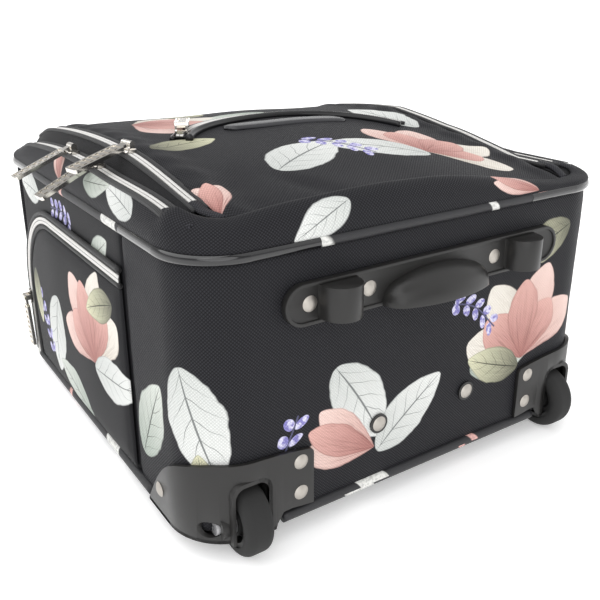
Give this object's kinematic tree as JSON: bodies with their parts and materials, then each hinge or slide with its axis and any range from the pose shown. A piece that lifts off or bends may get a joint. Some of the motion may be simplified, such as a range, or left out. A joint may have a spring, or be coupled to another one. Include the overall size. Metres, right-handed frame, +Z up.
{
  "type": "wheeled carry-on bag",
  "caption": "Soft-sided wheeled carry-on bag lying on its back, with a telescoping handle, zipped compartments, moulded wheel housings and a foot bar with a cup pull.",
  "frame": {"origin": "on the floor under the middle of the bag's box, the bag lying on its back", "axes": "+Z up from the bag's back to its front, +Y from the wheeled bottom to the top with the handle, +X to the right when the wheeled bottom is looked at"},
  "size_m": [0.3945, 0.4187, 0.2438],
  "materials": {
    "printed_cloth": null,
    "side_cloth": "black polyester, a little darker and smoother, printed in places",
    "black_cloth": "plain black polyester",
    "zip_silver": "silver coated coil on a grey tape",
    "piping_guard": "glossy black PVC",
    "patch": "smooth dark coated patch, bare",
    "nickel": "bright nickel plate",
    "housing_plastic": "satin dark grey moulded plastic",
    "wheel_plastic": "black nylon",
    "tyre": "black polyurethane tread",
    "steel": "zinc plated steel",
    "handle_tube": "silver anodised aluminium",
    "handle_plastic": "satin black moulded plastic",
    "button_plastic": "grey plastic button",
    "board": "black sheet stiffener"
  },
  "bodies": {
    "bag": {"axle_left": "steel", "axle_right": "steel", "back_board": "board", "back_panel": "side_cloth", "back_piping": "printed_cloth", "bottom_board": "board", "bottom_panel": "printed_cloth", "carry_handle": "black_cloth", "corner_guards": "piping_guard", "foot_bar": "housing_plastic", "foot_bar_rivets": "nickel", "foot_bracket": "handle_plastic", "front_band": "printed_cloth", "front_gusset": "black_cloth", "front_panel": "printed_cloth", "front_piping": "printed_cloth", "front_pocket_roll": "black_cloth", "front_pocket_zip": "zip_silver", "handle_bezel": "handle_plastic", "handle_studs": "nickel", "housing_rivets": "nickel", "inner_zip": "zip_silver", "left_side_panel": "side_cloth", "name_patch": "patch", "outer_tubes": "handle_tube", "outer_zip": "zip_silver", "right_side_panel": "side_cloth", "side_pocket_panel": "side_cloth", "side_pocket_zip": "zip_silver", "slider_front_pocket": "nickel", "slider_inner_zip": "nickel", "slider_outer_zip_far": "nickel", "slider_outer_zip_near": "nickel", "slider_side_pocket": "nickel", "stud_washers": "housing_plastic", "top_panel": "side_cloth", "wheel_housing_left": "housing_plastic", "wheel_housing_right": "housing_plastic", "wire_frame": "steel", "zip_end_tabs": "black_cloth"},
    "wheel_left": {"wheel_hub_left": "wheel_plastic", "tyre_left": "tyre", "wheel_bearings_left": "steel"},
    "wheel_right": {"wheel_hub_right": "wheel_plastic", "tyre_right": "tyre", "wheel_bearings_right": "steel"},
    "handle_middle": {"middle_tubes": "handle_tube", "middle_collars": "handle_plastic"},
    "handle_inner": {"inner_tubes": "handle_tube", "handle_grip": "handle_plastic"},
    "button": {"grip_button": "button_plastic", "push_rods": "steel"},
    "pin_left": {"lock_pin_left": "steel"},
    "pin_right": {"lock_pin_right": "steel"},
    "pull_inner_zip": {"pull_inner_zip": "nickel"},
    "pull_outer_zip_near": {"pull_outer_zip_near": "nickel"},
    "pull_outer_zip_far": {"pull_outer_zip_far": "nickel"},
    "pull_front_pocket": {"pull_front_pocket": "nickel"},
    "pull_side_pocket": {"pull_side_pocket": "nickel"}
  },
  "joints": [
    {"name": "wheel_left_spin", "type": "hinge", "parent": "bag", "child": "wheel_left", "pos_m": [-0.12753, -0.18159, 0.025], "axis": [1, 0, 0], "continuous": true},
    {"name": "wheel_right_spin", "type": "hinge", "parent": "bag", "child": "wheel_right", "pos_m": [0.15647, -0.18159, 0.025], "axis": [1, 0, 0], "continuous": true},
    {"name": "handle_lower_stage", "type": "slide", "parent": "bag", "child": "handle_middle", "axis": [0, 0.9991, -0.0413], "range_m": [0, 0.26]},
    {"name": "handle_upper_stage", "type": "slide", "parent": "handle_middle", "child": "handle_inner", "axis": [0, 0.9991, -0.0413], "range_m": [0, 0.26]},
    {"name": "button_press", "type": "slide", "parent": "handle_inner", "child": "button", "axis": [0, -0.9991, 0.0413], "range_m": [0, 0.003], "stiffness_N_per_m": 900, "springref_m": -0.002},
    {"name": "pin_left_draw", "type": "slide", "parent": "handle_inner", "child": "pin_left", "axis": [1, 0, 0], "range_m": [0, 0.002]},
    {"name": "pin_right_draw", "type": "slide", "parent": "handle_inner", "child": "pin_right", "axis": [-1, 0, 0], "range_m": [0, 0.002]},
    {"name": "pull_inner_zip_swing", "type": "hinge", "parent": "bag", "child": "pull_inner_zip", "pos_m": [-0.13503, -0.04199, 0.23875], "axis": [-0.309, 0.951, 0.0057], "range_deg": [0, 150]},
    {"name": "pull_outer_zip_near_swing", "type": "hinge", "parent": "bag", "child": "pull_outer_zip_near", "pos_m": [-0.15243, -0.02936, 0.22775], "axis": [-0.1392, 0.9902, -0.0076], "range_deg": [0, 120]},
    {"name": "pull_outer_zip_far_swing", "type": "hinge", "parent": "bag", "child": "pull_outer_zip_far", "pos_m": [-0.15243, 0.0239, 0.22585], "axis": [-0.0523, 0.9966, -0.0633], "range_deg": [0, 120]},
    {"name": "pull_front_pocket_swing", "type": "hinge", "parent": "bag", "child": "pull_front_pocket", "pos_m": [-0.08362, -0.01658, 0.24156], "axis": [0.8915, -0.4526, 0.0187], "range_deg": [0, 150]},
    {"name": "pull_side_pocket_swing", "type": "hinge", "parent": "bag", "child": "pull_side_pocket", "pos_m": [-0.17203, 0.13929, 0.06638], "axis": [0, 0.9991, -0.0413], "range_deg": [0, 150]}
  ],
  "couplings": [
    {"joint": "pin_left_draw", "follows": "button_press", "ratio": 0.6667},
    {"joint": "pin_right_draw", "follows": "button_press", "ratio": 0.6667}
  ]
}
